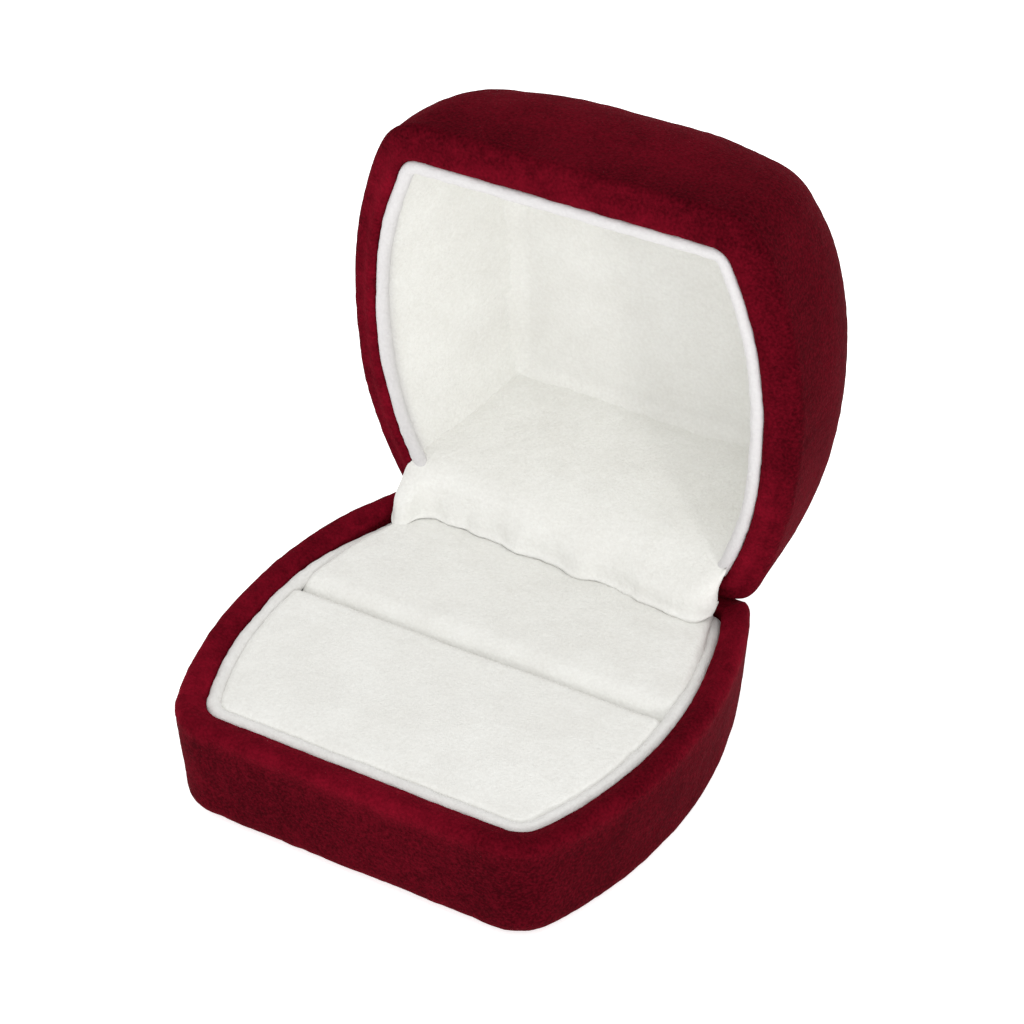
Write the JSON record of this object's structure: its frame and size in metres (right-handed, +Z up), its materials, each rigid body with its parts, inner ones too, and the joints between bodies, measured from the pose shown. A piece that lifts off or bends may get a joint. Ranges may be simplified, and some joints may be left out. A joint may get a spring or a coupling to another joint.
{
  "type": "ring box",
  "caption": "Ring box with bowed sides, velvet-wrapped base and deep domed lid, white velvet lining, a two-pad slotted cushion and a sprung back hinge.",
  "frame": {"origin": "centre of the base's underside", "axes": "+X to the right, +Y from the front to the hinge, +Z up; stored with the lid open"},
  "size_m": [0.06, 0.0774, 0.0683],
  "materials": {
    "red_velvet": "matte",
    "white_velvet": "matte",
    "foam": "matte",
    "card": "matte",
    "bottom_paper": "matte",
    "shell_plastic": "satin",
    "hinge_steel": "satin"
  },
  "bodies": {
    "base": {"base_shell": "shell_plastic", "base_velvet": "red_velvet", "base_bottom_panel": "bottom_paper", "base_liner": "white_velvet", "insert_board": "card", "front_pad_foam": "foam", "front_pad_cover": "white_velvet", "rear_pad_foam": "foam", "rear_pad_cover": "white_velvet", "hinge_cover_hem": "white_velvet", "hinge_base_leaf": "hinge_steel", "hinge_pin": "hinge_steel", "hinge_spring": "hinge_steel", "hinge_base_rivets": "hinge_steel"},
    "lid": {"lid_shell": "shell_plastic", "lid_velvet": "red_velvet", "lid_liner": "white_velvet", "lid_top_board": "card", "lid_top_pad": "white_velvet", "lid_back_board": "card", "hinge_cover": "white_velvet", "hinge_lid_leaf": "hinge_steel", "hinge_lid_rivets": "hinge_steel"}
  },
  "joints": [
    {"name": "lid_hinge", "type": "hinge", "parent": "base", "child": "lid", "pos_m": [0, 0.02545, 0.01585], "axis": [1, 0, 0], "range_deg": [0, 87.5]}
  ]
}
